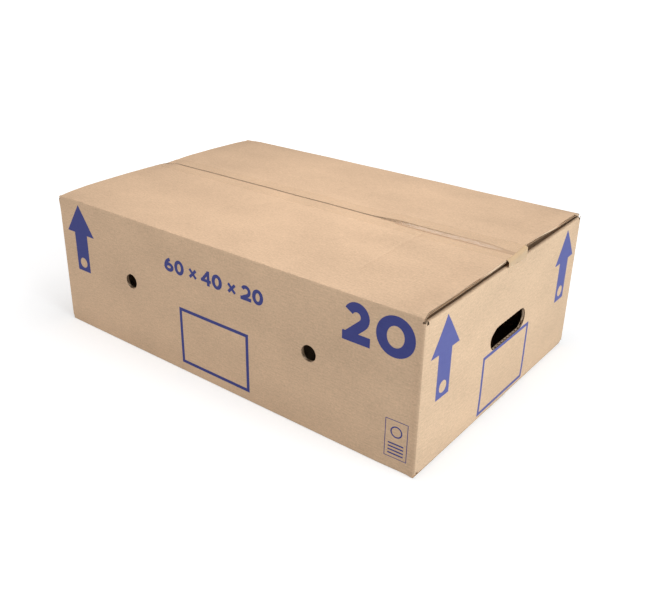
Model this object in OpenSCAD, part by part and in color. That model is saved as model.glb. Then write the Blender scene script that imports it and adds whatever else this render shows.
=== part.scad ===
// Ventilated produce box: a closed and taped shipping carton folded from one corrugated blank,
// with a hand hole in each end panel, two round vent holes in each long panel and blue print.
// The origin is the middle of the base. X runs along the length, Z points up.

/* [Box] */
// Length over the two end panels
box_l = 600; // [420:10:800]
// Width over the two long panels
box_w = 394; // [300:2:600]
// Height from the floor to the top folds of the long panels
box_h = 196; // [170:2:400]
// Thickness of the corrugated board
board_t = 4; // [3:0.5:6]
// Inner radius of every fold
fold_r = 0.6; // [0.4:0.1:1.5]

/* [Flaps] */
// Rise of the top from its long folds to the seam
crown = 4; // [0:0.5:12]
// Gap at the top seam, where the two long flaps meet
top_seam = 3; // [1:0.5:8]
// Distance of the top seam behind the middle: the front flap is that much longer
seam_shift = 5; // [0:0.5:15]
// Gap at the bottom seam
bottom_seam = 1.5; // [0.5:0.5:6]
// Length of the short flaps, from the outer face of their end panel
end_flap_l = 122; // [60:1:190]
// Distance from the end of a long flap to the outer face of the end panel
long_flap_inset = 2.5; // [1:0.5:5]
// Play between the side of a short flap and the long panel beside it
end_flap_play = 1.5; // [0.5:0.5:5]
// Air between two flaps that lie on each other
layer_gap = 0.3; // [0.1:0.1:1]
// Distance from the top, or the base, to the bottom of the corner slots
slot_drop = 6; // [5:0.5:12]

/* [Glue joint] */
// Width of the glue tab inside the left end panel
tab_w = 35; // [25:1:50]
// Room between the glue tab and the short flaps above and below it
tab_play = 4; // [2:1:20]
// Gap between the end panel's cut edge and the corner's outer face
tab_edge = 1; // [0.5:0.5:3]

/* [Openings] */
// Length of a hand hole
hand_l = 91; // [80:1:110]
// Height of a hand hole
hand_h = 29; // [25:1:40]
// Height of the middle of the hand holes above the floor
hand_z = 105.5; // [90:0.5:120]
// Diameter of a vent hole
vent_d = 21; // [12:1:30]
// Distance between the two vent holes of a long panel
vent_pitch = 306; // [240:2:340]
// Height of the middle of the vent holes above the floor
vent_z = 104; // [90:0.5:120]

/* [Tape] */
// Width of the clear tape
tape_w = 48; // [38:1:75]
// Thickness of the clear tape with its glue
tape_t = 0.1; // [0.05:0.05:0.3]
// Length of the tape's tails on the end panels
tail_l = 17; // [10:1:60]

/* [Print] */
// Thickness of the ink film
ink_t = 0.1; // [0.05:0.05:0.3]
// Height of an arrow
arrow_h = 100; // [80:1:105]
// Width of an arrow's head
arrow_head_w = 58; // [44:1:60]
// Height of an arrow's head
arrow_head_h = 43; // [25:1:50]
// Width of an arrow's shaft
arrow_shaft_w = 27; // [16:1:32]
// Distance from the top down to the tip of a long panel's arrow
long_arrow_drop = 6.5; // [5.5:0.5:20]
// Distance from the top down to the tip of an end panel's arrow
end_arrow_drop = 10; // [9.5:0.5:20]
// Diameter of the bare dot in an arrow's foot
arrow_dot_d = 15; // [8:1:20]
// Height of the dot's middle above the arrow's foot
arrow_dot_v = 13; // [11:1:20]
// Distance from a panel's edge to the middle of its arrow
arrow_side = 43; // [34:1:50]
// Width of an outline box
outline_w = 120; // [90:1:130]
// Height of the outline box on a long panel
long_outline_h = 82; // [60:1:84]
// Height of the outline box on an end panel
end_outline_h = 81.5; // [60:0.5:84]
// Width of the outline's line
outline_line = 4.5; // [2:0.5:7]
// Height of the outline box on a long panel above the floor
long_outline_z = 13.5; // [8:0.5:15]
// Height of the outline box on an end panel above the floor
end_outline_z = 10; // [5:0.5:12]
// Height of the large numeral
large_h = 48.5; // [35:0.5:52]
// Width of a stroke of the large numeral
large_stroke = 11.5; // [7:0.5:13]
// Distance from the large numeral to the panel's right edge
large_side = 10.5; // [8:0.5:20]
// Distance from the top to the foot of the large numeral
large_drop = 56; // [54:1:62]
// Height of the small size numerals
small_h = 20; // [12:1:22]
// Width of a stroke of the small numerals
small_stroke = 4.6; // [2.5:0.1:5]
// Distance from the top to the foot of the small numerals
small_drop = 55; // [50:1:62]
// Width of the thin frame in the lower right corner
mark_w = 28.5; // [24:0.5:36]
// Height of the thin frame
mark_h = 49; // [40:1:56]
// Width of the thin frame's line
mark_line = 0.8; // [0.4:0.1:1.5]
// Distance from the thin frame to the panel's right edge
mark_side = 12; // [10:0.5:16]
// Height of the thin frame above the floor
mark_z = 15.5; // [10:0.5:20]

/* [Hidden] */
$fn = 48;

kraft = [0.80, 0.66, 0.50];
clear_film = [0.88, 0.83, 0.66, 0.6];
ink = [0.27, 0.30, 0.58];

// Every panel turns into its neighbour or its flap with these radii
bend_r = board_t + fold_r;
// The tape lies flush under the board, so the board starts one tape higher
base_z = tape_t;
// Outer faces of the short flaps, just inside the long ones
end_top_z = box_h - board_t - layer_gap;
end_base_z = base_z + board_t + layer_gap;
// The panels stand between the folds of the short flaps
panel_top_z = end_top_z - bend_r;
panel_base_z = end_base_z + bend_r;
// The glue tab keeps clear of the short flaps' inner faces
tab_top_z = end_top_z - board_t - tab_play;
tab_base_z = end_base_z + board_t + tab_play;
end_flap_inset = board_t + end_flap_play;
front_flap_l = (box_w - top_seam) / 2 + seam_shift;
back_flap_l = (box_w - top_seam) / 2 - seam_shift;
base_flap_l = (box_w - bottom_seam) / 2;
front_tilt = atan2(crown, front_flap_l);
back_tilt = atan2(crown, back_flap_l);
// Slack that lets a cutting shape run past the face it cuts
past = 1;

// Points on an arc about c, from angle a0 to a1
function arc(c, r, a0, a1, steps = 12) =
    [for (i = [0:steps]) let (a = a0 + (a1 - a0) * i / steps) c + r * [cos(a), sin(a)]];

// One side of a pen stroke of the given width along a line of points
function stroke_side(pts, w, side) =
    [for (i = [0:len(pts) - 1])
        let (a = pts[max(i - 1, 0)], b = pts[min(i + 1, len(pts) - 1)], d = (b - a) / norm(b - a))
        pts[i] + side * w / 2 * [-d[1], d[0]]];
function reversed(list) = [for (i = [len(list) - 1:-1:0]) list[i]];

// Points of an oval of w by h, centred in a box of box_u by box_v that starts at the origin
function oval(box_u, box_v, w, h, steps = 48) =
    [for (i = [0:steps - 1]) let (a = 360 * i / steps)
        [box_u / 2 + w / 2 * cos(a), box_v / 2 + h / 2 * sin(a)]];

// Board

// Section of a panel's edge, its fold and its flap. The panel's outer face is u = 0 and the
// fold's top is v = 0. The flap runs inwards to u = reach and rises by tilt on the way.
module fold_section(reach, tilt, run) {
    c = [bend_r, -bend_r];
    along = [cos(tilt), sin(tilt)];
    across = [sin(tilt), -cos(tilt)];
    start = c - bend_r * across;
    tip = start + along * (reach - start[0]) / cos(tilt);
    polygon(concat(
        [[0, -run]],
        arc(c, bend_r, 180, 90 + tilt),
        [tip, tip + board_t * across],
        arc(c, fold_r, 90 + tilt, 180),
        [[board_t, -run]]
    ));
}

// The fold and flap of the front panel; width is measured along X
module long_flap(width, reach, tilt, run) {
    translate([-width / 2, -box_w / 2, 0])
        rotate([90, 0, 90])
            linear_extrude(width)
                fold_section(reach, tilt, run);
}

// The fold and flap of the right end panel; width is measured along Y
module end_flap(width, reach, run) {
    translate([box_l / 2, width / 2, 0])
        rotate([90, 0, 0])
            mirror([1, 0, 0])
                linear_extrude(width)
                    fold_section(reach, 0, run);
}

module opposite_pair() {
    children();
    rotate([0, 0, 180])
        children();
}

module rounded_rectangle(l, w, r) {
    square([l - 2 * r, w], center = true);
    square([l, w - 2 * r], center = true);
    for (x = [-1, 1], y = [-1, 1])
        translate([x * (l / 2 - r), y * (w / 2 - r)])
            circle(r);
}

module outer_plan() {
    rounded_rectangle(box_l, box_w, bend_r);
}

module corner_square(size) {
    translate([-box_l / 2 - past, box_w / 2 - size])
        square([size + past, size + past]);
}

// The four panels seen from above, folded at three corners
module panel_plan() {
    difference() {
        outer_plan();
        rounded_rectangle(box_l - 2 * board_t, box_w - 2 * board_t, fold_r);
        corner_square(bend_r + board_t);
    }
    joint_corner();
}

// The fourth corner: the back panel folds inwards and the end panel's cut edge covers it
module joint_corner() {
    reach = bend_r + board_t;
    x0 = -box_l / 2;
    y1 = box_w / 2;
    translate([x0, y1 - reach])
        square([board_t, reach - tab_edge]);
    translate([x0 + board_t, y1 - reach])
        square([board_t, reach - bend_r]);
    translate([x0 + board_t + bend_r, y1 - bend_r])
        difference() {
            circle(bend_r);
            circle(fold_r);
            translate([0, -bend_r - past])
                square([bend_r + past, 2 * (bend_r + past)]);
            translate([-bend_r - past, -bend_r - past])
                square([2 * (bend_r + past), bend_r + past]);
        }
    translate([x0 + board_t + bend_r, y1 - board_t])
        square([board_t, board_t]);
}

module panels() {
    translate([0, 0, panel_base_z])
        linear_extrude(panel_top_z - panel_base_z)
            panel_plan();
}

// Tops and feet of the corners, between the slots of neighbouring flaps
module corner_ends() {
    translate([0, 0, base_z + slot_drop])
        linear_extrude(box_h - base_z - 2 * slot_drop)
            intersection() {
                panel_plan();
                for (x = [-1, 1], y = [-1, 1])
                    translate([x * box_l / 2, y * box_w / 2])
                        square([4 * bend_r, 2 * end_flap_inset], center = true);
            }
}

module top_flaps() {
    width = box_l - 2 * long_flap_inset;
    translate([0, 0, box_h]) {
        long_flap(width, front_flap_l, front_tilt, box_h - panel_top_z);
        rotate([0, 0, 180])
            long_flap(width, back_flap_l, back_tilt, box_h - panel_top_z);
    }
    translate([0, 0, end_top_z])
        opposite_pair()
            end_flap(box_w - 2 * end_flap_inset, end_flap_l, bend_r);
}

module base_flaps() {
    translate([0, 0, base_z])
        mirror([0, 0, 1])
            opposite_pair()
                long_flap(box_l - 2 * long_flap_inset, base_flap_l, 0, panel_base_z - base_z);
    translate([0, 0, end_base_z])
        mirror([0, 0, 1])
            opposite_pair()
                end_flap(box_w - 2 * end_flap_inset, end_flap_l, bend_r);
}

module glue_tab() {
    translate([-box_l / 2 + board_t, box_w / 2 - tab_w, tab_base_z])
        cube([board_t, tab_w - bend_r - board_t + past, tab_top_z - tab_base_z]);
}

// Openings. Both are drawn in the panel's own plane, u to the right and v up.

module hand_hole_shape() {
    half = (hand_l - hand_h) / 2;
    translate([0, hand_z])
        for (side = [-1, 1])
            translate([side * half, 0])
                circle(hand_h / 2);
    translate([-half, hand_z - hand_h / 2])
        square([2 * half, hand_h]);
}

module vent_shape() {
    for (side = [-1, 1])
        translate([side * vent_pitch / 2, vent_z])
            circle(vent_d / 2);
}

// Stand a drawing on the front panel; it starts at depth below the face and grows outwards
module on_front(depth, height) {
    translate([0, -box_w / 2 + depth, 0])
        rotate([90, 0, 0])
            linear_extrude(height)
                children();
}

// The same for the right end panel
module on_right(depth, height) {
    translate([box_l / 2 - depth, 0, 0])
        rotate([90, 0, 90])
            linear_extrude(height)
                children();
}

module openings() {
    opposite_pair() {
        on_front(board_t + past, board_t + 2 * past)
            vent_shape();
        on_right(board_t + past, board_t + 2 * past)
            hand_hole_shape();
    }
}

// The whole blank: one sheet of board, folded and glued at the tab
module carton() {
    color(kraft)
        difference() {
            union() {
                panels();
                corner_ends();
                glue_tab();
                intersection() {
                    union() {
                        top_flaps();
                        base_flaps();
                    }
                    linear_extrude(box_h + crown + past)
                        outer_plan();
                }
            }
            openings();
        }
}

// Tape

// Height of a top flap's upper face above its fold's top, at a distance from its panel's face
function flap_v(u, tilt) = bend_r / cos(tilt) - bend_r + (u - bend_r) * tan(tilt);

// The lower side of the film, seen from the right end: it lies on both top flaps and bridges
// the seam between them
function film_line() =
    let (half = tape_w / 2, gap = top_seam / 2)
        [
            [seam_shift - half, flap_v(front_flap_l + gap - half, front_tilt)],
            [seam_shift - gap, flap_v(front_flap_l, front_tilt)],
            [seam_shift + gap, flap_v(back_flap_l, back_tilt)],
            [seam_shift + half, flap_v(back_flap_l + gap - half, back_tilt)]
        ];

module top_film_section() {
    line = film_line();
    polygon(concat(line, [for (p = reversed(line)) p + [0, tape_t]]));
}

module top_tail_section() {
    line = film_line();
    polygon(concat(
        [[line[0][0], -tail_l], [line[3][0], -tail_l]],
        [for (p = reversed(line)) p + [0, tape_t]]
    ));
}

module top_tape() {
    color(clear_film)
        translate([0, 0, box_h])
            rotate([90, 0, 90]) {
                translate([0, 0, -box_l / 2])
                    linear_extrude(box_l)
                        top_film_section();
                for (x = [-box_l / 2 - tape_t, box_l / 2])
                    translate([0, 0, x])
                        linear_extrude(tape_t)
                            top_tail_section();
            }
}

// Its tails cross the end panels' print, so they lie one ink film further out
module bottom_tape() {
    tail_x = box_l / 2 + ink_t;
    color(clear_film) {
        translate([-tail_x - tape_t, -tape_w / 2, 0])
            cube([2 * (tail_x + tape_t), tape_w, tape_t]);
        opposite_pair()
            translate([tail_x, -tape_w / 2, 0])
                cube([tape_t, tape_w, tail_l]);
    }
}

// Print. All of it is drawn in the panel's own plane, u to the right and v up.

module frame_line(w, h, line) {
    difference() {
        square([w, h]);
        translate([line, line])
            square([w - 2 * line, h - 2 * line]);
    }
}

// An arrow that points up, its tip at the origin, with a round dot left bare in its foot
module arrow() {
    head = arrow_head_w / 2;
    shaft = arrow_shaft_w / 2;
    difference() {
        polygon([
            [0, 0], [head, -arrow_head_h], [shaft, -arrow_head_h], [shaft, -arrow_h],
            [-shaft, -arrow_h], [-shaft, -arrow_head_h], [-head, -arrow_head_h]
        ]);
        translate([0, arrow_dot_v - arrow_h])
            circle(d = arrow_dot_d);
    }
}

module pen_line(pts, w) {
    polygon(concat(stroke_side(pts, w, -1), reversed(stroke_side(pts, w, 1))));
}

// An upright oval ring, a little heavier at its sides, with its lower left corner at the origin
module oval_ring(w, h, pen) {
    difference() {
        polygon(oval(w, h, w, h));
        polygon(oval(w, h, w - 2.3 * pen, h - 2 * pen));
    }
}

// A two: a bow, a neck that leaves it smoothly and a foot bar
module two(w, h, pen) {
    r = (w * 0.92 - pen) / 2;
    c = [r + pen / 2 + w * 0.04, h - pen / 2 - r];
    foot = [pen * 0.65, pen * 0.6];
    drop = foot - c;
    turn = atan2(drop[1], drop[0]) + acos(r / norm(drop));
    pen_line(concat(arc(c, r, 155, turn, 16), [foot]), pen);
    square([w, pen]);
}

// A four: a stem, a bar and a slanted side
module four(w, h, pen) {
    bar_v = h * 0.22;
    stem_u = w * 0.60;
    translate([0, bar_v])
        square([w, pen * 0.9]);
    translate([stem_u, 0])
        square([pen, h]);
    pen_line([[stem_u + pen * 0.45, h - pen * 0.4], [pen * 0.5, bar_v + pen * 0.45]], pen * 0.9);
}

// A six: an oval bowl and a curved stem that rises from its left side
module six(w, h, pen) {
    bowl_h = h * 0.64;
    rise = h - bowl_h / 2 - pen / 2;
    reach = w * 0.72;
    oval_ring(w, bowl_h, pen);
    pen_line([for (a = [180:-8:108]) [pen / 2 + reach * (1 + cos(a)), bowl_h / 2 + rise * sin(a)]], pen);
}

// A times sign, its left side at u = 0
module times(w, pen) {
    translate([w / 2, w / 2])
        for (turn = [45, -45])
            rotate(turn)
                square([w * 1.3, pen * 0.85], center = true);
}

// The size in plain numerals, its foot line at v = 0 and its middle at u = 0
module size_line() {
    digit_w = small_h * 0.86;
    step = digit_w + small_stroke * 0.35;
    sign_w = small_h * 0.60;
    space = small_h * 0.42;
    group = 2 * step + sign_w + 2 * space;
    translate([-group - digit_w, 0]) {
        six(digit_w, small_h, small_stroke);
        translate([group, 0])
            four(digit_w, small_h, small_stroke);
        translate([2 * group, 0])
            two(digit_w, small_h, small_stroke);
        for (i = [0:2])
            translate([i * group + step, 0])
                oval_ring(digit_w, small_h, small_stroke);
        for (i = [0:1])
            translate([i * group + 2 * step + space, small_h * 0.15])
                times(sign_w, small_stroke);
    }
}

// The height in large numerals, its foot at v = 0 and its right side at u = 0
module large_size() {
    zero_w = large_h * 0.98;
    two_w = large_h * 0.75;
    translate([-zero_w, 0])
        oval_ring(zero_w, large_h, large_stroke);
    translate([-zero_w - two_w - large_stroke * 0.6, 0])
        two(two_w, large_h, large_stroke);
}

// A thin frame that holds a plain ring and short bars
module corner_mark() {
    pad = mark_w * 0.16;
    ring_r = mark_w * 0.26;
    frame_line(mark_w, mark_h, mark_line);
    translate([mark_w / 2, mark_h * 0.70])
        difference() {
            circle(ring_r);
            circle(ring_r - 2 * mark_line);
        }
    for (i = [1:4])
        translate([pad, mark_h * 0.09 * i])
            square([mark_w - 2 * pad, mark_h * 0.035]);
}

module long_print_shape() {
    difference() {
        union() {
            translate([-box_l / 2 + arrow_side, box_h - long_arrow_drop])
                arrow();
            translate([0, box_h - small_drop])
                size_line();
            translate([-outline_w / 2, long_outline_z])
                frame_line(outline_w, long_outline_h, outline_line);
            translate([box_l / 2 - large_side, box_h - large_drop])
                large_size();
            translate([box_l / 2 - mark_side - mark_w, mark_z])
                corner_mark();
        }
        vent_shape();
    }
}

module end_print_shape() {
    difference() {
        union() {
            for (side = [-1, 1])
                translate([side * (box_w / 2 - arrow_side), box_h - end_arrow_drop])
                    arrow();
            translate([-outline_w / 2, end_outline_z])
                frame_line(outline_w, end_outline_h, outline_line);
        }
        hand_hole_shape();
    }
}

module long_print() {
    color(ink)
        on_front(0, ink_t)
            long_print_shape();
}

module end_print() {
    color(ink)
        on_right(0, ink_t)
            end_print_shape();
}

module front_print() {
    long_print();
}

module back_print() {
    rotate([0, 0, 180])
        long_print();
}

module right_print() {
    end_print();
}

module left_print() {
    rotate([0, 0, 180])
        end_print();
}

carton();
top_tape();
bottom_tape();
front_print();
back_print();
right_print();
left_print();
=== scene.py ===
import math

import bpy
import numpy as np
from mathutils import Matrix, Vector
from mathutils.geometry import delaunay_2d_cdt


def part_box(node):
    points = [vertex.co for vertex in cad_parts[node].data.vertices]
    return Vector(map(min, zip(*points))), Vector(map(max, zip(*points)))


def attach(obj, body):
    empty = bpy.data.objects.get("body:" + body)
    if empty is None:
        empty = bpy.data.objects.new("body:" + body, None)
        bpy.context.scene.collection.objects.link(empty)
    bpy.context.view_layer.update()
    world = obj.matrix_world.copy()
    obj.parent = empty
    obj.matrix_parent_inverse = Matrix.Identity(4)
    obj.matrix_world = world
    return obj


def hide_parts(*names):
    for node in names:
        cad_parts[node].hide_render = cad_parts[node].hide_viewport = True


# Lengths are in millimetres until a mesh is made
MM = 0.001

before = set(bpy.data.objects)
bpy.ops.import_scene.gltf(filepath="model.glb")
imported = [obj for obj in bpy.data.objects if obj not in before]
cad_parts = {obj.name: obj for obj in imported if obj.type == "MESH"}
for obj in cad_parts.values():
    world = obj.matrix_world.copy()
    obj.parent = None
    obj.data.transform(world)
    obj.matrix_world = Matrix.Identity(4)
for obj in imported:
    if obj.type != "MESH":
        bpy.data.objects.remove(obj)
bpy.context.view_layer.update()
rng = np.random.default_rng(20)

# Length and width come from the pack, the other sizes follow the source
carton_low, carton_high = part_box("carton")
L = round((carton_high.x - carton_low.x) / MM, 3)
W = round((carton_high.y - carton_low.y) / MM, 3)
# Height of the top folds, and of the board's underside over the bottom tape
H = 196.0
BASE = 0.1
# The board, its liners and the length of one flute
BOARD = 4.0
LINER = 0.45
PITCH = 7.5
# Outer radius of folds and corners, and how crisp they are
BEND = 4.6
SHARP = 6.0
# Drop from the long flaps' folds to the short flaps' folds
LAYER = 4.3
# Top and bottom seams
SEAM_Y = 5.0
SEAM_GAP = 3.0
BASE_SEAM_GAP = 1.5
# The tab under the back panel, and the cut edge that meets it
TAB_W = 35.0
TAB_PLAY = 0.05
FREE_CUT = 1.0


def crisp(angle):
    """How far a crisp fold stands out beyond a round one, as a share of its radius."""
    c, s = np.abs(np.cos(angle)), np.abs(np.sin(angle))
    return (c ** SHARP + s ** SHARP) ** (-1 / SHARP) - 1


def smooth(x):
    """A soft step from 0 to 1."""
    x = np.clip(x, 0.0, 1.0)
    return x * x * (3 - 2 * x)


# The blank lies in coordinates s (round the box, from the left panel's cut edge to the glue tab),
# t (height) and w (depth below the outer face). Each panel starts at a corner of the box.
TAB_X = -L / 2 + BOARD + TAB_PLAY
TURNS = [0.0, L, L + W, L + W + L / 2 - TAB_X]
S_FREE = FREE_CUT - W
S_TAB = TURNS[3] + TAB_W
PANELS = [
    # s at the start, x, y, direction along s, direction inwards, top fold, bottom fold
    (-W, -L / 2, W / 2, (0, -1), (1, 0), H - LAYER, BASE + LAYER),
    (0.0, -L / 2, -W / 2, (1, 0), (0, 1), H, BASE),
    (L, L / 2, -W / 2, (0, 1), (-1, 0), H - LAYER, BASE + LAYER),
    (L + W, L / 2, W / 2, (-1, 0), (0, -1), H, BASE),
    (TURNS[3], TAB_X, W / 2, (0, -1), (1, 0), H, BASE),
]
# Distance of the flaps' sides from the corner, on the long and on the short panels
FLAP_SIDE = 2.5
END_SIDE = 5.8
# Where the back flaps end, and where the left panel's short flaps start after its cut edge
BACK_END_S = L + W + L - FLAP_SIDE
FREE_FLAP = 4.5
# How far the flaps reach from their folds
FRONT_REACH = (W - SEAM_GAP) / 2 + SEAM_Y
BACK_REACH = (W - SEAM_GAP) / 2 - SEAM_Y
BASE_REACH = (W - BASE_SEAM_GAP) / 2
END_REACH = 122.0
# The slots between flaps: width over the long panel, the ridge left at the corner, feet of both halves
SLOT_SIDE = 4.2
RIDGE = (0.4, 1.4)
RIDGE_T = H - 2.6
SLOT_T = H - 5.8
END_SLOT_T = H - 7.8
# Heights between which the sides of a long panel leave the round corner and run straight into the flap
SLOT_FOOT = BASE + 9.8
UNROLL_START = 4.2
UNROLL = 3.8
# Slack for tests of whether a point is on an edge
EDGE = 0.01

# Rise of the closed top at the left end over the fold's level, as the photo shows it
LEFT_Y = np.array([-197, -195, -180, -150, -120, -75, -30, 0, 8, 15, 45, 60, 105, 135, 165, 195, 197.0])
LEFT_RISE = np.array([
    -1.8, -1.7, 0.1, 1.5, 1.8, 2.1, 1.5, 0.2, -0.6, -0.4, 1.2, 1.4, 0.8, -0.1, -0.9, -2.6, -3.0,
])
# Rise at the seam, and of the two flaps' ends on the right
CROWN = 4.0
FRONT_END = 4.1
BACK_END = (2.9, 0.0303, 7.9)
# How much higher the back flap's edge stands on the right, and how far it slides forwards there
SEAM_STEP = 3.4
SEAM_SLIDE = 1.6
# Where the crease in the front flap runs
CREASE_X = 178.4


def left_rise(x, y, z):
    """The rise z, changed towards the left end's own shape."""
    return z + (np.interp(y, LEFT_Y, LEFT_RISE) - z) * smooth((-266 - x) / 30)


def front_rise(x, y):
    """Rise of the front flap's upper face over its fold."""
    u = np.clip(y + W / 2, 0, None)
    base = CROWN * u / FRONT_REACH
    end = FRONT_END * smooth(u / 9)
    return left_rise(x, y, base + (end - base) * smooth((x - 255) / 38))


def back_rise(x, y):
    """Rise of the back flap's upper face over its fold."""
    u = np.clip(W / 2 - y, 0, None)
    base = (CROWN + SEAM_STEP * smooth((x - 90) / 60)) * u / BACK_REACH
    lift, slope, most = BACK_END
    end = np.minimum(lift * smooth(u / 12) + slope * u, most)
    z = base + (end - base) * smooth((x - 245) / 45)
    # The tape holds the flap's corner down
    z = z - 3.0 * smooth((x - 258) / 38) * smooth((38 - y) / 30)
    return left_rise(x, y, z)


def slide(x):
    """How far the back flap slides forwards where it stands proud."""
    return SEAM_SLIDE * smooth((x - 100) / 80)


def waves(x, y):
    """Slow waves of the board of the top flaps."""
    return 0.22 * np.sin(x / 41 + 1.3) * np.sin(y / 33 + x / 160) + 0.12 * np.sin(x / 17 + y / 23)


def quarter(past):
    """Angle turned by a fold at a length past its start."""
    return np.clip(past / (2 * BEND), 0, 1) * math.pi / 2


def place(s, t, w, panel):
    """Points of the blank in the closed box. panel is the index of each point's panel."""
    s, t, w = (np.asarray(a, float) for a in np.broadcast_arrays(s, t, w))
    panel = np.broadcast_to(panel, s.shape)
    start = np.array([p[0] for p in PANELS])[panel]
    origin = np.array([p[1:3] for p in PANELS])[panel]
    along = np.array([p[3] for p in PANELS], float)[panel]
    inward = np.array([p[4] for p in PANELS], float)[panel]
    top = np.array([p[5] for p in PANELS])[panel]
    foot = np.array([p[6] for p in PANELS])[panel]
    long_side = (panel == 1) | (panel == 3)

    # Which points belong to a flap: those between its side edges
    near_turn = np.min(np.abs(s[..., None] - np.array(TURNS)), axis=-1)
    side = np.where(long_side, FLAP_SIDE - EDGE, END_SIDE - EDGE)
    back_flap = (s >= TURNS[2] + side) & (s <= BACK_END_S + EDGE)
    flap = np.where(panel == 3, back_flap, near_turn >= side)
    flap = flap & (panel != 4) & ((panel != 0) | (s > S_FREE + FREE_FLAP - 0.1))

    # Fold: depth u from the outer plane, and height z
    a = np.where(flap, t - (top - BEND), -1.0)
    b = np.where(flap, foot + BEND - t, -1.0)
    u, z = w, t
    share = BEND * (1 - w / BOARD)
    for way, past, level in ((1, a, top), (-1, b, foot)):
        arc = quarter(past)
        r = BEND - w + share * crisp(arc)
        u = np.where(past > 0, BEND - r * np.cos(arc) + np.clip(past - 2 * BEND, 0, None), u)
        z = np.where(past > 0, level - way * BEND + way * r * np.sin(arc), z)

    # Plan: straight along the panel, or round the corner
    flat = origin + along * (s - start)[..., None] + inward * u[..., None]
    plan = flat.copy()
    for i, turn in enumerate(TURNS):
        near = np.abs(s - turn) < BEND
        if not near.any():
            continue
        n0 = -np.array(PANELS[i][4], float)
        n1 = -np.array(PANELS[i + 1][4], float)
        corner = np.array(PANELS[i + 1][1:3]) - BEND * (n0 + n1)
        angle = quarter(s[near] - turn + BEND)
        normal = n0 * np.cos(angle)[:, None] + n1 * np.sin(angle)[:, None]
        depth = np.clip(u[near], -1, BOARD)
        r = BEND - depth + BEND * (1 - depth / BOARD) * crisp(angle)
        plan[near] = corner + r[:, None] * normal
    unroll = smooth((t - (SLOT_T - UNROLL_START)) / UNROLL) + smooth((SLOT_FOOT - t) / UNROLL)
    unroll = np.where(flap & long_side, unroll, 0.0)
    xy = plan + (flat - plan) * np.clip(unroll, 0, 1)[..., None]
    p = np.concatenate([xy, z[..., None]], axis=-1)
    return bend(p, panel, np.sin(quarter(a)) ** 2 * flap)


def end_bulge(y, z):
    """How far the end panels bulge outwards."""
    across = 1 - np.clip(np.abs(y) / (W / 2), 0, 1) ** 8
    return 1.9 * across * (1 - np.clip(np.abs(2 * z / H - 1), 0, 1) ** 7)


def bend(p, panel, over):
    """The box's own unevenness. over is 1 on a top flap and 0 on a wall."""
    x, y, z = p[..., 0], p[..., 1], p[..., 2]
    # The top rises, with a crease and a small dent in the front flap
    lift = np.where(panel == 1, front_rise(x, y), np.where(panel == 3, back_rise(x, y), 0.0))
    crease = 0.45 * np.exp(-((x - CREASE_X) / 2.0) ** 2) * smooth((y + 140) / 12) * smooth((-6 - y) / 4)
    dent = 0.9 * np.exp(-((x - CREASE_X) ** 2 + (y + 11) ** 2) / 9)
    lift = lift + waves(x, y) - np.where(panel == 1, crease + dent, 0.0)
    z = z + lift * over * (z > H / 2)
    # The short flaps drop a little behind their folds
    d = np.clip(L / 2 - np.abs(x) - 3.0, 0, END_REACH)
    sag = 5.5 * (1 - np.exp(-d / 9)) * (1 - smooth(d / (END_REACH - 3)))
    z = z - np.where((panel == 0) | (panel == 2), sag * (over > 0.98) * (z > H / 2), 0.0)
    y = y - np.where(panel == 3, slide(x) * over * (z > H / 2), 0.0)
    # The long walls bulge, and the front one is hollow beside its right corner
    wall = 1 - over
    high = np.sin(np.pi * np.clip(z / H, 0, 1)) ** 0.8
    across = 1 - np.clip(np.abs(x) / (L / 2), 0, 1) ** 2
    hollow = smooth((x - 250) / 34) * (1 - smooth((x - 288) / 9.5))
    y = y + np.where(panel == 1, (hollow - 0.8 * across * high) * wall, 0.0)
    y = y + np.where(panel == 3, 0.8 * across * high * wall, 0.0)
    # The ends bulge, and the front's top left corner flares
    x = x + np.where((panel == 2), end_bulge(y, z) * wall, 0.0)
    x = x - np.where((panel == 0) | (panel == 4), end_bulge(y, z) * wall, 0.0)
    flare = smooth((-255 - x) / 45) * smooth((z - 172) / 18) * wall
    y = y - np.where(panel == 1, flare, 0.0)
    return np.stack([x, y, z], axis=-1)


# Grid lines over the blank, close together at corners and folds
GRID_STEP = 9.0
GRID_NEAR = (0, 1.15, 2.3, 3.45, 4.6, 6.4, 9.0, 13.0)


def graded(marks, low, high):
    """Grid lines from low to high, dense beside the marks."""
    lines = [low, high] + [m + side * d for m in marks for d in GRID_NEAR for side in (-1, 1)]
    lines = np.array(sorted(v for v in lines if low <= v <= high))
    out = [lines[0]]
    for v in lines[1:]:
        gap = v - out[-1]
        if gap < 0.5:
            continue
        n = max(1, int(math.ceil(gap / GRID_STEP)))
        base = out[-1]
        out += [base + gap * i / n for i in range(1, n + 1)]
    return np.array(out)


def spaced(lines):
    """Lines in order, without those that crowd the one before."""
    lines = np.array(sorted(set(np.round(lines, 3))))
    return lines[np.concatenate([[True], np.diff(lines) > 0.6])]


# Round the box: the corners, the crease, the hollow on the right and the flare on the left
crease_lines = [L / 2 + CREASE_X + d for d in (-12, -8, -5, -3, -1.5, 0, 1.5, 3, 5, 8, 12)]
s_lines = spaced(np.concatenate([
    graded(TURNS, S_FREE, S_TAB), crease_lines, np.arange(L - 50, L - 4, 2.0), np.arange(6, 50, 5.0),
]))
# Up the blank: the folds, and the dent at the crease's end
T_MID = H / 2
t_lines = spaced(np.concatenate([
    graded([BASE, BASE + LAYER], BASE - BASE_REACH, T_MID),
    graded([H - LAYER, H], T_MID, H + FRONT_REACH)[1:],
    H + W / 2 - 11 + np.array([-4.5, -3, -1.5, 0, 1.5, 3, 4.5]),
]))


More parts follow.
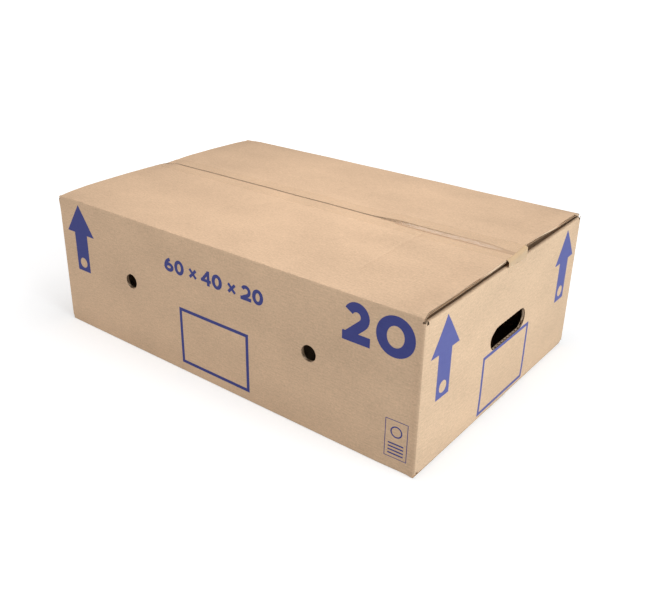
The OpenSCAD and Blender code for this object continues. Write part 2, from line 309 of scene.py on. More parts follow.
def slots(turn, order):
    """Points round the slots at a corner's top, as (s, t). order is +1 where the long flap is on the left."""
    pts = [
        (-FLAP_SIDE, SLOT_T + 3), (-SLOT_SIDE, SLOT_T + 1.5), (-SLOT_SIDE, SLOT_T), (RIDGE[0], SLOT_T),
        (RIDGE[0], RIDGE_T), (RIDGE[1], RIDGE_T), (RIDGE[1], END_SLOT_T), (END_SIDE, END_SLOT_T)
    ]
    pts = [(turn + order * a, b) for a, b in pts]
    return pts if order > 0 else pts[::-1]


def blank_outline():
    """Points round the blank: the lower edge from left to right, then the upper edge back."""
    tab_top = H - 12.3
    end_top = H - LAYER + END_REACH
    top = [(S_FREE, END_SLOT_T), (S_FREE + FREE_FLAP, END_SLOT_T), (S_FREE + FREE_FLAP, end_top),
           (-END_SIDE, end_top)]
    top += slots(0.0, -1)
    top += [(FLAP_SIDE, H + FRONT_REACH), (L - FLAP_SIDE, H + FRONT_REACH)]
    top += slots(L, 1)
    top += [(L + END_SIDE, end_top), (L + W - END_SIDE, end_top)]
    top += slots(L + W, -1)
    top += [(L + W + FLAP_SIDE, H + BACK_REACH), (BACK_END_S, H + BACK_REACH), (BACK_END_S, SLOT_T)]
    tab_start = TURNS[3] - FLAP_SIDE
    top += [(tab_start, SLOT_T), (tab_start, END_SLOT_T), (TURNS[3] + BEND, tab_top), (S_TAB, tab_top)]
    foot = []
    for s, t in top:
        if t > H + BACK_REACH - 1:
            t = BASE - BASE_REACH
        elif t > H:
            t = BASE + LAYER - END_REACH
        else:
            t = H + BASE - min(t, SLOT_T)
        foot.append((s, t))
    return foot + top[::-1]


def dense(loop):
    """The closed loop with points where its edges cross the grid lines."""
    out = []
    n = len(loop)
    for i in range(n):
        a, b = np.array(loop[i]), np.array(loop[(i + 1) % n])
        cuts = [0.0]
        for axis, lines in ((0, s_lines), (1, t_lines)):
            d = b[axis] - a[axis]
            if abs(d) > 1e-6:
                f = (lines - a[axis]) / d
                cuts += list(f[(f > 0) & (f < 1)])
        cuts = np.array(sorted(cuts))
        length = np.linalg.norm(b - a)
        keep = [0.0]
        for c in cuts[1:]:
            if (c - keep[-1]) * length > 0.9 and (1 - c) * length > 0.9:
                keep.append(c)
        out += [tuple(a + (b - a) * c) for c in keep]
    return out


# Openings
VENT_R = 10.5
VENT_X = 153.0
VENT_Z = 104.0
HAND_R = 14.5
HAND_HALF = 31.0
HAND_Z = 105.5


def vent(cs, cz):
    """A round hole with a slightly rough edge."""
    n = 72
    wob = 0.10 * np.sin(np.arange(n) * 2 * math.pi / n * 11 + cs) + 0.06 * np.sin(np.arange(n) * 1.9)
    pts = []
    for i in range(n):
        angle, r = 2 * math.pi * i / n, VENT_R + wob[i]
        pts.append((cs + r * math.cos(angle), cz + r * math.sin(angle)))
    return pts


def hand_hole(cs, cz, flip):
    """A slot with round ends, its lower lip a little uneven where the die tore the liner."""
    pts = []
    for side in (1, -1):
        for i in range(31):
            a = -side * math.pi / 2 + math.pi * i / 30
            pts.append((side * HAND_HALF + HAND_R * math.cos(a), HAND_R * math.sin(a)))
        for x in np.linspace(side * HAND_HALF, -side * HAND_HALF, 27)[1:-1]:
            pts.append((x, side * HAND_R))
    pts = np.array(pts)
    # The upper left of the right hole is cut a little flatter
    corner = np.exp(-((pts[:, 0] + 38) ** 2 + (pts[:, 1] - 11) ** 2) / 40)
    pts[:, 0] += 1.3 * corner
    pts[:, 1] -= 1.3 * corner
    pts[:, 1] += 0.25 * np.sin(pts[:, 0] * 0.9 + flip) * (np.abs(pts[:, 1]) > 13)
    return [(cs + a, cz + b) for a, b in pts]


holes = []
for cs in (L / 2 - VENT_X, L / 2 + VENT_X, L + W + L / 2 - VENT_X, L + W + L / 2 + VENT_X):
    holes.append(vent(cs, VENT_Z))
for cs, flip in ((L + W / 2, 0.0), (-W / 2, 1.0)):
    holes.append(hand_hole(cs, HAND_Z, flip))


# Print: outlines of the CAD films' outer faces, laid back on the blank
def print_loops(node, axis, sign, to_s):
    """The closed loops round a film's outer face, as (s, t)."""
    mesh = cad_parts[node].data
    mesh.calc_loop_triangles()
    co = np.array([v.co for v in mesh.vertices]) / MM
    key = {}
    index = np.zeros(len(co), int)
    for i, c in enumerate(np.round(co, 2)):
        index[i] = key.setdefault(tuple(c), len(key))
    points = np.array(list(key.keys()))
    face = sign * points[:, axis]
    outer = face > face.max() - 0.02
    count = {}
    for tri in mesh.loop_triangles:
        v = [index[i] for i in tri.vertices]
        if len(set(v)) < 3 or not all(outer[i] for i in v):
            continue
        for a, b in ((v[0], v[1]), (v[1], v[2]), (v[2], v[0])):
            count[(a, b)] = count.get((a, b), 0) + 1
    follow = {}
    for a, b in count:
        if (b, a) not in count:
            follow.setdefault(a, []).append(b)
    loops = []
    while follow:
        first = next(iter(follow))
        loop = [first]
        while True:
            ends = follow.get(loop[-1])
            if not ends:
                break
            b = ends.pop()
            if not ends:
                del follow[loop[-1]]
            if b == first:
                break
            loop.append(b)
        if len(loop) > 2:
            loops.append([(float(to_s(points[i])), float(points[i][2])) for i in loop])
    return loops


prints = {
    "front_print": print_loops("front_print", 1, -1, lambda p: p[0] + L / 2),
    "right_print": print_loops("right_print", 0, 1, lambda p: L + p[1] + W / 2),
    "back_print": print_loops("back_print", 1, 1, lambda p: L + W + L / 2 - p[0]),
    "left_print": print_loops("left_print", 0, -1, lambda p: -W / 2 - p[1]),
}


def inside(points, loops):
    """Even-odd test of points against closed loops."""
    hit = np.zeros(len(points), bool)
    px, py = points[:, 0], points[:, 1]
    for loop in loops:
        q = np.array(loop)
        a, b = q, np.roll(q, -1, axis=0)
        box = (px >= q[:, 0].min()) & (px <= q[:, 0].max()) & (py >= q[:, 1].min()) & (py <= q[:, 1].max())
        idx = np.nonzero(box)[0]
        if not len(idx):
            continue
        for c in range(0, len(idx), 4000):
            i = idx[c:c + 4000]
            x, y = px[i, None], py[i, None]
            cross = (a[None, :, 1] > y) != (b[None, :, 1] > y)
            dy = np.where(b[:, 1] == a[:, 1], 1.0, b[:, 1] - a[:, 1])
            at = a[None, :, 0] + (y - a[None, :, 1]) * ((b[:, 0] - a[:, 0]) / dy)[None, :]
            hit[i] ^= (np.sum(cross & (at > x), axis=1) % 2).astype(bool)
    return hit


outline = dense(blank_outline())
print_all = [dense(loop) for node_loops in prints.values() for loop in node_loops]
loops = [outline] + holes + print_all
gs, gt = np.meshgrid(s_lines, t_lines)
grid = np.stack([gs.ravel(), gt.ravel()], axis=1)
grid = grid[inside(grid, [outline] + holes)]


def keep_clear(points, loops, gap):
    """The points that lie farther than the gap from every loop."""
    keep = np.ones(len(points), bool)
    for loop in loops:
        q = np.array(loop)
        a, b = q, np.roll(q, -1, axis=0)
        lo, hi = q.min(0) - gap, q.max(0) + gap
        idx = np.nonzero(keep & np.all((points >= lo) & (points <= hi), axis=1))[0]
        for c in range(0, len(idx), 1500):
            i = idx[c:c + 1500]
            p = points[i][:, None, :]
            d = (b - a)[None]
            f = np.clip(np.sum((p - a[None]) * d, -1) / np.maximum(np.sum(d * d, -1), 1e-9), 0, 1)
            gap2 = np.sum((p - a[None] - d * f[..., None]) ** 2, -1).min(1)
            keep[i] &= gap2 > gap * gap
    return points[keep]


grid = keep_clear(grid, [outline], 0.5)
grid = keep_clear(grid, holes + print_all, 1.2)

# One triangulation of the blank, which the liners and the print share
verts, edges = [], []
for loop in loops:
    n0 = len(verts)
    verts += [Vector(p) for p in loop]
    edges += [(n0 + i, n0 + (i + 1) % len(loop)) for i in range(len(loop))]
verts += [Vector(p) for p in grid]
out_v, _, out_f = delaunay_2d_cdt(verts, edges, [], 0, 1e-5)[:3]
flat_v = np.array([(v.x, v.y) for v in out_v])
flat_f = np.array([f for f in out_f if len(f) == 3])
q = flat_v[flat_f]
area = np.cross(q[:, 1] - q[:, 0], q[:, 2] - q[:, 0]) / 2
flat_f = np.where(area[:, None] < 0, flat_f[:, ::-1], flat_f)
mid = q.mean(1)
good = (np.abs(area) > 1e-6) & inside(mid, [outline] + holes)
flat_f, mid = flat_f[good], mid[good]


def panel_of(s, t):
    """Index of the panel that each point of the blank belongs to."""
    k = np.searchsorted(np.array(TURNS), s, side="right")
    over = (t > SLOT_T - 0.6) | (t < H + BASE - SLOT_T + 0.6)
    k = np.where((k == 4) & over & (s < L + W + L), 3, k)
    return k


def solid(name, st, faces, w_out, w_in):
    """A closed mesh between two depths under the outer face."""
    used = np.unique(faces)
    new = np.full(len(st), -1)
    new[used] = np.arange(len(used))
    st, faces = st[used], new[faces]
    k = panel_of(st[:, 0], st[:, 1])
    a = place(st[:, 0], st[:, 1], w_out, k)
    b = place(st[:, 0], st[:, 1], w_in, k)
    n = len(st)
    e = np.concatenate([faces[:, [0, 1]], faces[:, [1, 2]], faces[:, [2, 0]]])
    code = e[:, 0] * n + e[:, 1]
    back = e[:, 1] * n + e[:, 0]
    rim = e[~np.isin(code, back)]
    walls = np.stack([rim[:, 0], rim[:, 0] + n, rim[:, 1] + n, rim[:, 1]], axis=1)
    all_faces = [tuple(f) for f in faces.tolist()]
    all_faces += [tuple(f) for f in (faces[:, ::-1] + n).tolist()]
    all_faces += [tuple(f) for f in walls.tolist()]
    uv = np.concatenate([st, st])
    obj = make_mesh(name, np.concatenate([a, b]), all_faces, uv)
    index = np.zeros(len(all_faces), np.int32)
    index[-len(walls):] = 1
    obj.data.polygons.foreach_set("material_index", index)
    return obj


def make_mesh(name, points, faces, uv, angle=35.0):
    """An object from points in millimetres, smooth but for edges over the angle."""
    mesh = bpy.data.meshes.new(name)
    mesh.from_pydata((np.asarray(points) * MM).tolist(), [], faces)
    mesh.update()
    layer = mesh.uv_layers.new(name="blank")
    index = np.zeros(len(mesh.loops), np.int32)
    mesh.loops.foreach_get("vertex_index", index)
    layer.data.foreach_set("uv", (np.asarray(uv)[index] * MM).astype(np.float32).ravel())
    mesh.polygons.foreach_set("use_smooth", np.ones(len(mesh.polygons), bool))
    mesh.set_sharp_from_angle(angle=math.radians(angle))
    obj = bpy.data.objects.new(name, mesh)
    bpy.context.scene.collection.objects.link(obj)
    return obj


outer_liner = solid("outer_liner", flat_v, flat_f, 0.0, LINER)
inner_liner = solid("inner_liner", flat_v, flat_f, BOARD - LINER, BOARD)
# The ink lies just clear of the liner
INK_OUTER, INK_INNER = -0.10, -0.005
films = {}
for node, node_loops in prints.items():
    pick = inside(mid, [dense(loop) for loop in node_loops])
    films[node] = solid(node + "_film", flat_v, flat_f[pick], INK_OUTER, INK_INNER)


# Fluting between the liners, beside every cut edge
MEDIUM = 0.26
WAVE = (BOARD - 2 * LINER - MEDIUM) / 2


def thick_grid(outer, inner, uv, closed=False):
    """A closed mesh from two matching grids of points. closed joins the last row to the first."""
    nu, nv = outer.shape[:2]
    n = nu * nv
    index = np.arange(n).reshape(nu, nv)
    if closed:
        index = np.concatenate([index, index[:1]], axis=0)
    a, b, c, d = index[:-1, :-1], index[1:, :-1], index[1:, 1:], index[:-1, 1:]
    quads = np.stack([a, b, c, d], axis=-1).reshape(-1, 4)
    faces = quads.tolist() + (quads[:, ::-1] + n).tolist()
    e = np.concatenate([quads[:, [0, 1]], quads[:, [1, 2]], quads[:, [2, 3]], quads[:, [3, 0]]])
    rim = e[~np.isin(e[:, 0] * n + e[:, 1], e[:, 1] * n + e[:, 0])]
    faces += np.stack([rim[:, 0], rim[:, 0] + n, rim[:, 1] + n, rim[:, 1]], axis=1).tolist()
    pts = np.concatenate([outer.reshape(-1, 3), inner.reshape(-1, 3)])
    uvs = np.concatenate([uv.reshape(-1, 2), uv.reshape(-1, 2)])
    return pts, faces, uvs


flute_parts = []


def flutes(s, t, drift=0.0, closed=False, panel=None):
    """One piece of fluting over a grid of points, a little squashed and with its waves drifting."""
    phase = rng.uniform(0, 2 * math.pi)
    k = panel_of(s, t) if panel is None else np.full(s.shape, panel)
    squash = 1 - 0.12 * np.abs(np.sin(s * 0.11 + t * 0.07 + phase))
    turn = 2 * math.pi * s / PITCH + phase + drift * np.sin(t * 0.021 + phase)
    w = BOARD / 2 + WAVE * squash * np.cos(turn)
    a = place(s, t, w - MEDIUM / 2, k)
    b = place(s, t, w + MEDIUM / 2, k)
    flute_parts.append(thick_grid(a, b, np.stack([s, t], axis=-1), closed))


def strip(s0, s1, t0, t1, dt, drift=0.0, panel=None):
    """Fluting over a rectangle of the blank."""
    ss = np.linspace(s0, s1, max(2, int(round(abs(s1 - s0) / FLUTE_STEP)) + 1))
    tt = np.linspace(t0, t1, max(2, int(round(abs(t1 - t0) / dt)) + 1))
    s, t = np.meshgrid(ss, tt, indexing="ij")
    flutes(s, t, drift, panel=panel)


# How far the fluting starts behind a cut edge, how deep it goes, and its room at the ends of a strip
IN = 0.12
DEEP = 7.0
ROOM = 0.3
FLUTE_STEP = 0.65
HOLE_ROWS = (0.15, 2.2, 4.4, 6.6)
# The seam edges of the top flaps
for s0, reach in ((0.0, FRONT_REACH), (L + W, BACK_REACH)):
    strip(s0 + FLAP_SIDE + IN, s0 + L - FLAP_SIDE - IN, H + reach - DEEP, H + reach - IN, 3.5)
# The sides of the long flaps, above and below
for s0, reach, panel in ((0.0, FRONT_REACH, 1), (L + W, BACK_REACH, 3)):
    spans = ((SLOT_T + ROOM, H + reach - DEEP - ROOM), (BASE - BASE_REACH + IN, BASE + H - SLOT_T - ROOM))
    for side0, side1 in ((FLAP_SIDE + IN, FLAP_SIDE + DEEP), (L - FLAP_SIDE - DEEP, L - FLAP_SIDE - IN)):
        for t0, t1 in spans:
            strip(s0 + side0, s0 + side1, t0, t1, 2.0, drift=2.4, panel=panel)
# The cut edge at the glue joint, and the rims of the holes
strip(S_FREE + IN, S_FREE + DEEP, H + BASE - END_SLOT_T + ROOM, END_SLOT_T - ROOM, 6.0, drift=0.8)
for loop in holes:
    q = np.array(dense(loop))
    n = 4 * len(q) if len(q) < 100 else 3 * len(q)
    length = np.concatenate([[0], np.cumsum(np.linalg.norm(np.roll(q, -1, 0) - q, axis=1))])
    f = np.linspace(0, length[-1], n, endpoint=False)
    cycle = np.concatenate([q, q[:1]])
    e = np.stack([np.interp(f, length, cycle[:, 0]), np.interp(f, length, cycle[:, 1])], axis=1)
    tangent = np.roll(e, -1, 0) - np.roll(e, 1, 0)
    tangent /= np.linalg.norm(tangent, axis=1)[:, None]
    out = np.stack([tangent[:, 1], -tangent[:, 0]], axis=1)
    st = e[:, None, :] + out[:, None, :] * np.array(HOLE_ROWS)[None, :, None]
    flutes(st[..., 0], st[..., 1], closed=True)


def outward(points, quads):
    """The quads of a closed mesh, turned over if they face inwards."""
    q = points[np.array(quads)]
    volume = np.sum(q[:, 0] * np.cross(q[:, 1], q[:, 2])) + np.sum(q[:, 0] * np.cross(q[:, 2], q[:, 3]))
    return quads if volume > 0 else [face[::-1] for face in quads]


def joined(name, parts):
    """One object from several closed meshes."""
    pts, faces, uvs, n = [], [], [], 0
    for p, f, u in parts:
        pts.append(p)
        uvs.append(u)
        faces += [tuple(i + n for i in face) for face in outward(p, f)]
        n += len(p)
    return make_mesh(name, np.concatenate(pts), faces, np.concatenate(uvs))


fluting = joined("fluting", flute_parts)


# Tape
TAPE_W = 48.0
TAIL = 17.0
FILM = 0.08
# Where the top film leaves the lid for the step down to the end panel
LID_X = 297.3


def top_film(x, y):
    """Height of the top film's lower side over the box: on the back flap, down a step, on the front flap."""
    front, back = SEAM_Y - SEAM_GAP / 2, SEAM_Y + SEAM_GAP / 2
    on_front, on_back = np.minimum(y, front), np.maximum(y + slide(x), back)
    low = front_rise(x, on_front) + waves(x, on_front)
    high = back_rise(x, on_back) + waves(x, on_back)
    step = back_rise(x, np.full_like(y, back)) - front_rise(x, np.full_like(y, front))
    edge = back - slide(x)
    f = smooth((edge - y) / (3.0 + 1.6 * np.abs(step)))
    return H + np.where(y >= edge, high, low + step * (1 - f))


def row(x, y, z):
    """A row of points across the tape. x and z are each one number or one for every y."""
    return np.stack([np.zeros_like(y) + x, y, np.zeros_like(y) + z], axis=-1)


def through(points, i, f):
    """A smooth curve through the points, at the share f from point i to the next."""
    n = len(points)
    a, b, c, d = points[max(i - 1, 0)], points[i], points[i + 1], points[min(i + 2, n - 1)]
    return 0.5 * (2 * b + (c - a) * f + (2 * a - 5 * b + 4 * c - d) * f * f + (3 * b - a - 3 * c + d) * f ** 3)


def tape_points():
    """Rows of points along the tape, from the left tail's foot over the top to the right tail's foot."""
    half = TAPE_W / 2
    ys = SEAM_Y + np.concatenate([
        np.linspace(-half, -3.5, 8), np.linspace(-2, 3.5, 8), np.linspace(5.5, half, 7),
    ])
    xs = np.concatenate([
        np.linspace(-LID_X, -255, 16)[:-1], np.linspace(-255, 60, 40)[:-1],
        np.linspace(60, 230, 30)[:-1], np.linspace(230, LID_X, 40),
    ])
    rows = []
    for side in (-1, 1):
        z_end = top_film(np.full_like(ys, side * LID_X), ys)
        wall = L / 2 + end_bulge(ys, np.full_like(ys, H - 12)) + 0.02
        keys = [
            (LID_X, z_end), (298.6, z_end - 0.25), (299.7, z_end - 1.3), (wall + 0.12, z_end - 3.2),
            (wall + 0.05, H - 6.4), (wall, H - 9.5), (wall, H - TAIL),
        ]
        key_x, key_z = ([np.zeros_like(ys) + key[k] for key in keys] for k in (0, 1))
        part = []
        for i in range(len(keys) - 1):
            for f in (0, 0.25, 0.5, 0.75):
                part.append(row(side * through(key_x, i, f), ys, through(key_z, i, f)))
        part.append(row(side * key_x[-1], ys, key_z[-1]))
        if side < 0:
            rows += part[::-1][:-1]
            rows += [row(x, ys, top_film(np.full_like(ys, x), ys)) for x in xs]
        else:
            rows += part[1:]
    return np.array(rows)


def film_mesh(name, grid, gap):
    """A film on a grid of points, with a gap of air under it."""
    du = np.gradient(grid, axis=0)
    dv = np.gradient(grid, axis=1)
    normal = np.cross(du, dv)
    normal /= np.maximum(np.linalg.norm(normal, axis=-1), 1e-9)[..., None]
    pts, faces, uvs = thick_grid(grid + normal * (gap + FILM), grid + normal * gap, grid[..., :2])
    return make_mesh(name, pts, faces, uvs, 60.0)


top_tape = film_mesh("top_tape_film", tape_points(), 0.03)


def base_tape_points():
    """Rows of points along the lower tape, from the left tail's top under the base to the right one's."""
    ys = np.linspace(-TAPE_W / 2, TAPE_W / 2, 13)
    keys = [(0.03, TAIL), (0.03, 13), (0.03, 9.5), (0.05, 6.0), (0.0, 3.0), (-0.5, 1.0), (-1.6, 0.12)]
    tails = []
    for side in (-1, 1):
        part = []
        for out, z in keys:
            x = L / 2 + out + end_bulge(ys, np.full_like(ys, z)) * (1.0 if z > 2 else 0.5)
            part.append(row(side * x, ys, z))
        tails.append(part)
    under = [row(x, ys, 0.09) for x in np.linspace(-296.5, 296.5, 60)]
    return np.array(tails[0] + under + tails[1][::-1])


base_tape = film_mesh("base_tape_film", base_tape_points()[:, ::-1], 0.005)


# Materials
def material(name):
    """A new material with its nodes, links and shader."""
    mat = bpy.data.materials.new(name)
    mat.use_nodes = True
    nodes = mat.node_tree.nodes
    return mat, nodes, mat.node_tree.links, nodes["Principled BSDF"]


def blank_uv(nodes):
    """Place on the flat blank, in metres."""
    uv = nodes.new("ShaderNodeUVMap")
    uv.uv_map = "blank"
    return uv.outputs["UV"]


def noise(nodes, links, source, scale, detail, rough, seed=(0, 0, 0)):
    m = nodes.new("ShaderNodeMapping")
    m.inputs["Scale"].default_value = scale
    m.inputs["Location"].default_value = seed
    n = nodes.new("ShaderNodeTexNoise")
    n.inputs["Scale"].default_value = 1.0
    n.inputs["Detail"].default_value = detail
    n.inputs["Roughness"].default_value = rough
    links.new(source, m.inputs["Vector"])
    links.new(m.outputs["Vector"], n.inputs["Vector"])
    return n.outputs["Fac"]


def math_node(nodes, links, op, a, b):
    n = nodes.new("ShaderNodeMath")
    n.operation = op
    for i, v in enumerate((a, b)):
        if hasattr(v, "links"):
            links.new(v, n.inputs[i])
        else:
            n.inputs[i].default_value = v
    return n.outputs[0]


def map_range(nodes, links, value, source, target):
    """The value mapped from one range to another, and held at its ends."""
    n = nodes.new("ShaderNodeMapRange")
    for side, name in enumerate(("Min", "Max")):
        n.inputs["From " + name].default_value = source[side]
        n.inputs["To " + name].default_value = target[side]
    links.new(value, n.inputs["Value"])
    return n.outputs["Result"]


def weighted(nodes, links, terms):
    """Sum of (value - 0.5) * weight over the terms."""
    total = None
    for value, weight in terms:
        v = math_node(nodes, links, "MULTIPLY", math_node(nodes, links, "SUBTRACT", value, 0.5), weight)
        total = v if total is None else math_node(nodes, links, "ADD", total, v)
    return total


def kraft_material(name, colour, strength):
    """Brown paper with fibres along the blank, cloudy patches, specks and a faint print of the flutes."""
    mat, nodes, links, bsdf = material(name)
    src = blank_uv(nodes)
    fibre = noise(nodes, links, src, (90, 560, 1), 4.0, 0.6)
    cloud = noise(nodes, links, src, (9, 14, 1), 3.0, 0.5, (3, 7, 0))
    speck = noise(nodes, links, src, (380, 460, 1), 2.0, 0.7, (11, 5, 0))
    mix = weighted(nodes, links, [(fibre, 0.40 * strength), (cloud, 0.34 * strength), (speck, 0.48 * strength)])
    value = math_node(nodes, links, "ADD", mix, 1.0)
    col = nodes.new("ShaderNodeVectorMath")
    col.operation = "SCALE"
    col.inputs[0].default_value = colour
    links.new(value, col.inputs["Scale"])
    links.new(col.outputs[0], bsdf.inputs["Base Color"])
    bsdf.inputs["Roughness"].default_value = 0.82
    bsdf.inputs["Specular IOR Level"].default_value = 0.25
    wave = nodes.new("ShaderNodeTexWave")
    wave.wave_type = "BANDS"
    wave.bands_direction = "X"
    wave.inputs["Scale"].default_value = 2 * math.pi / (20 * PITCH * MM)
    links.new(src, wave.inputs["Vector"])
    height = weighted(nodes, links, [(fibre, 0.35), (speck, 0.3), (wave.outputs["Fac"], 0.35)])
    bump = nodes.new("ShaderNodeBump")
    bump.inputs["Strength"].default_value = 0.30
    bump.inputs["Distance"].default_value = 0.0004
    links.new(height, bump.inputs["Height"])
    links.new(bump.outputs["Normal"], bsdf.inputs["Normal"])
    return mat


def ink_material(name, dark, light):
    """Slightly mottled print between two tones."""
    mat, nodes, links, bsdf = material(name)
    src = blank_uv(nodes)
    fibre = noise(nodes, links, src, (60, 620, 1), 4.0, 0.65, (2, 9, 0))
    cloud = noise(nodes, links, src, (70, 90, 1), 3.0, 0.6, (5, 1, 0))
    mix = weighted(nodes, links, [(fibre, 0.5), (cloud, 0.5)])
    ramp = nodes.new("ShaderNodeMix")
    ramp.data_type = "RGBA"
    links.new(math_node(nodes, links, "ADD", mix, 0.35), ramp.inputs["Factor"])
    ramp.inputs["A"].default_value = (*dark, 1)
    ramp.inputs["B"].default_value = (*light, 1)
    links.new(ramp.outputs["Result"], bsdf.inputs["Base Color"])
    bsdf.inputs["Roughness"].default_value = 0.55
    bsdf.inputs["Specular IOR Level"].default_value = 0.4
    return mat


def tape_material(name, colour, alpha, fade=False):
    """Glossy film. fade makes it clearer left of where the back flap starts to stand proud."""
    mat, nodes, links, bsdf = material(name)
    bsdf.inputs["Base Color"].default_value = (*colour, 1)
    bsdf.inputs["Alpha"].default_value = alpha
    if fade:
        split = nodes.new("ShaderNodeSeparateXYZ")
        links.new(blank_uv(nodes), split.inputs[0])
        grown = map_range(nodes, links, split.outputs["X"], (0.11, 0.17), (0.35 * alpha, alpha))
        links.new(grown, bsdf.inputs["Alpha"])
    bsdf.inputs["Roughness"].default_value = 0.18
    bsdf.inputs["IOR"].default_value = 1.48
    return mat


kraft_out = kraft_material("kraft_outer", (0.66, 0.46, 0.30), 1.0)
# The inner liner is a darker brown than the outer one: painted shade of the closed box's dark inside
inner_kraft_painted_shade = kraft_material("inner_liner_kraft_painted_shade", (0.42, 0.29, 0.19), 1.0)
# The fluting is a lighter brown than the liner: painted light that offsets the shade in its hollows
kraft_flute_painted_light = kraft_material("kraft_flute_painted_light", (0.80, 0.60, 0.42), 1.2)
# The cut edges are a darker brown: painted shade of the open flute ends
kraft_cut_painted_shade = kraft_material("kraft_cut_painted_shade", (0.40, 0.275, 0.17), 1.6)
long_ink = ink_material("blue_ink", (0.025, 0.033, 0.195), (0.056, 0.067, 0.265))
# The end panels' ink is a lighter copy of the same blue: painted sheen of the light on the ends
end_ink_painted_sheen = ink_material("blue_ink_end_painted_sheen", (0.078, 0.088, 0.280), (0.128, 0.140, 0.375))
# The second and third tapes are kraft-coloured and nearly opaque: painted light over the shaded seam gap and
# the shaded cut edges
tapes = [
    tape_material("clear_tape", (0.80, 0.64, 0.42), 0.05),
    tape_material("tape_over_step_painted_light", (0.72, 0.505, 0.33), 0.55, True),
    tape_material("tape_over_edge_painted_light", (0.70, 0.485, 0.285), 0.80),
]

# The liners' second material is for their cut edges, a darker brown that is painted shade of the open flute
# ends
for piece, mat in ((outer_liner, kraft_out), (inner_liner, inner_kraft_painted_shade)):
    piece.data.materials.append(mat)
    piece.data.materials.append(kraft_cut_painted_shade)
fluting.data.materials.append(kraft_flute_painted_light)
for piece in (top_tape, base_tape):
    for mat in tapes:
        piece.data.materials.append(mat)
    # The film is nearly opaque and kraft-coloured where it bridges the seam and where it spans the flaps' cut
    # edges: painted light that covers the shade in the gap and on the cut edges
    x, y, z = (np.array([p.center for p in piece.data.polygons]) / MM).T
    on_lid = np.abs(x) <= LID_X - 0.3
    edge = ~on_lid & (z > H - 5.5)
    wedge = smooth((x - 215) / 40)
    line = SEAM_Y - 3.3 * smooth((x - 100) / 50) + 1.3 * wedge
    step = (np.abs(y - line) < 2.3 + 1.2 * wedge) & on_lid & (z > H / 2)
    piece.data.polygons.foreach_set("material_index", np.where(edge, 2, np.where(step, 1, 0)).astype(np.int32))
for node, film in films.items():
    for _ in range(2):
        # The end panels' prints take the lighter ink with the painted sheen
        film.data.materials.append(end_ink_painted_sheen if node in ("right_print", "left_print") else long_ink)

for piece in (outer_liner, inner_liner, fluting):
    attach(piece, "root")
    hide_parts("carton")
for node, film in films.items():
    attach(film, "root")
    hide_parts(node)
for piece, node in ((top_tape, "top_tape"), (base_tape, "bottom_tape")):
    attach(piece, "root")
    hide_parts(node)

# Floor and light
FLOOR = 6.0
floor_mesh = bpy.data.meshes.new("floor")
floor_mesh.from_pydata([(-FLOOR, -FLOOR, 0), (FLOOR, -FLOOR, 0), (FLOOR, FLOOR, 0), (-FLOOR, FLOOR, 0)],
                       [], [(0, 1, 2, 3)])
floor = bpy.data.objects.new("floor", floor_mesh)
bpy.context.scene.collection.objects.link(floor)
mat, nodes, links, bsdf = material("white_floor")
bsdf.inputs["Base Color"].default_value = (0.70, 0.70, 0.70, 1)
bsdf.inputs["Roughness"].default_value = 0.9
bsdf.inputs["Specular IOR Level"].default_value = 0.0
glow = nodes.new("ShaderNodeEmission")
glow.inputs["Color"].default_value = (1, 1, 1, 1)
path = nodes.new("ShaderNodeLightPath")
# To the camera the floor glows, and more so away from the box, so that it is white but for the shadow
place_on_floor = nodes.new("ShaderNodeTexCoord")
far = nodes.new("ShaderNodeVectorMath")
far.operation = "LENGTH"
links.new(place_on_floor.outputs["Object"], far.inputs[0])
level = map_range(nodes, links, far.outputs["Value"], (0.45, 1.2), (0.50, 1.00))
level = math_node(nodes, links, "MULTIPLY", path.outputs["Is Camera Ray"], level)
links.new(level, glow.inputs["Strength"])
add = nodes.new("ShaderNodeAddShader")
links.new(bsdf.outputs[0], add.inputs[0])
links.new(glow.outputs[0], add.inputs[1])
links.new(add.outputs[0], nodes["Material Output"].inputs["Surface"])
floor.data.materials.append(mat)

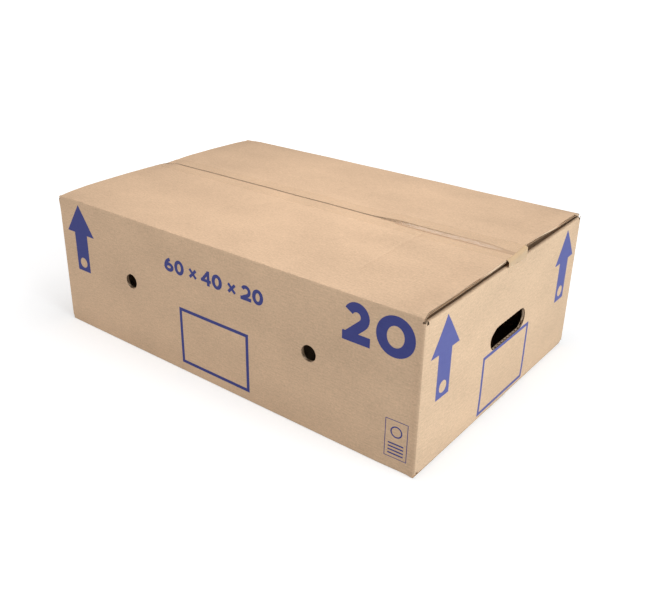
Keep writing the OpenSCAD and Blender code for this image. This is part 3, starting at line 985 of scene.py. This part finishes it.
world = bpy.data.worlds.new("pale")
bpy.context.scene.world = world
world.use_nodes = True
wn, wl = world.node_tree.nodes, world.node_tree.links
wn.clear()
back = wn.new("ShaderNodeBackground")
path = wn.new("ShaderNodeLightPath")
seen = math_node(wn, wl, "MAXIMUM", path.outputs["Is Camera Ray"], path.outputs["Is Transmission Ray"])
level = math_node(wn, wl, "ADD", math_node(wn, wl, "MULTIPLY", seen, 0.85), 0.47)
wl.new(level, back.inputs["Strength"])
out = wn.new("ShaderNodeOutputWorld")
wl.new(back.outputs[0], out.inputs[0])


def softbox(name, at, towards, size, power, colour):
    data = bpy.data.lights.new(name, "AREA")
    data.shape = "SQUARE"
    data.size = size
    data.energy = power
    data.color = colour
    obj = bpy.data.objects.new(name, data)
    obj.location = at
    obj.rotation_euler = (Vector(at) - Vector(towards)).to_track_quat("Z", "Y").to_euler()
    bpy.context.scene.collection.objects.link(obj)


softbox("overhead", (0.02, -0.02, 0.80), (0.02, -0.02, 0.1), 0.5, 2.75, (1.04, 1.0, 1.0))
softbox("right_side", (2.3, -0.25, 0.8), (0.3, 0, 0.1), 1.5, 38.5, (0.95, 1.04, 1.10))
softbox("front_fill", (-1.0, -1.9, 0.5), (-0.2, -0.2, 0.1), 1.0, 10.5, (1.0, 0.99, 1.0))

# Camera, from the outlines of the box in the photo
CAM_AZ, CAM_EL = math.radians(39.646), math.radians(24.678)
CAM_AT = Vector((648.52, -828.072, 565.706)) * MM
FOCAL, CX, CY = 810.82, 290.245, 278.872
IMAGE_W, IMAGE_H = 660, 590
SENSOR = 36.0
back_dir = Vector((math.sin(CAM_AZ) * math.cos(CAM_EL), -math.cos(CAM_AZ) * math.cos(CAM_EL), math.sin(CAM_EL)))
right = Vector((0, 0, 1)).cross(back_dir).normalized()
up = back_dir.cross(right)
cam_data = bpy.data.cameras.new("camera")
cam_data.sensor_width = SENSOR
cam_data.sensor_fit = "HORIZONTAL"
cam_data.lens = FOCAL * SENSOR / IMAGE_W
cam_data.shift_x = (IMAGE_W / 2 - CX) / IMAGE_W
cam_data.shift_y = (CY - IMAGE_H / 2) / IMAGE_W
cam_data.clip_end = 50
camera = bpy.data.objects.new("camera", cam_data)
camera.matrix_world = Matrix((
    (right.x, up.x, back_dir.x, CAM_AT.x),
    (right.y, up.y, back_dir.y, CAM_AT.y),
    (right.z, up.z, back_dir.z, CAM_AT.z),
    (0, 0, 0, 1),
))
bpy.context.scene.collection.objects.link(camera)
bpy.context.scene.camera = camera
bpy.context.scene.view_settings.view_transform = "Standard"
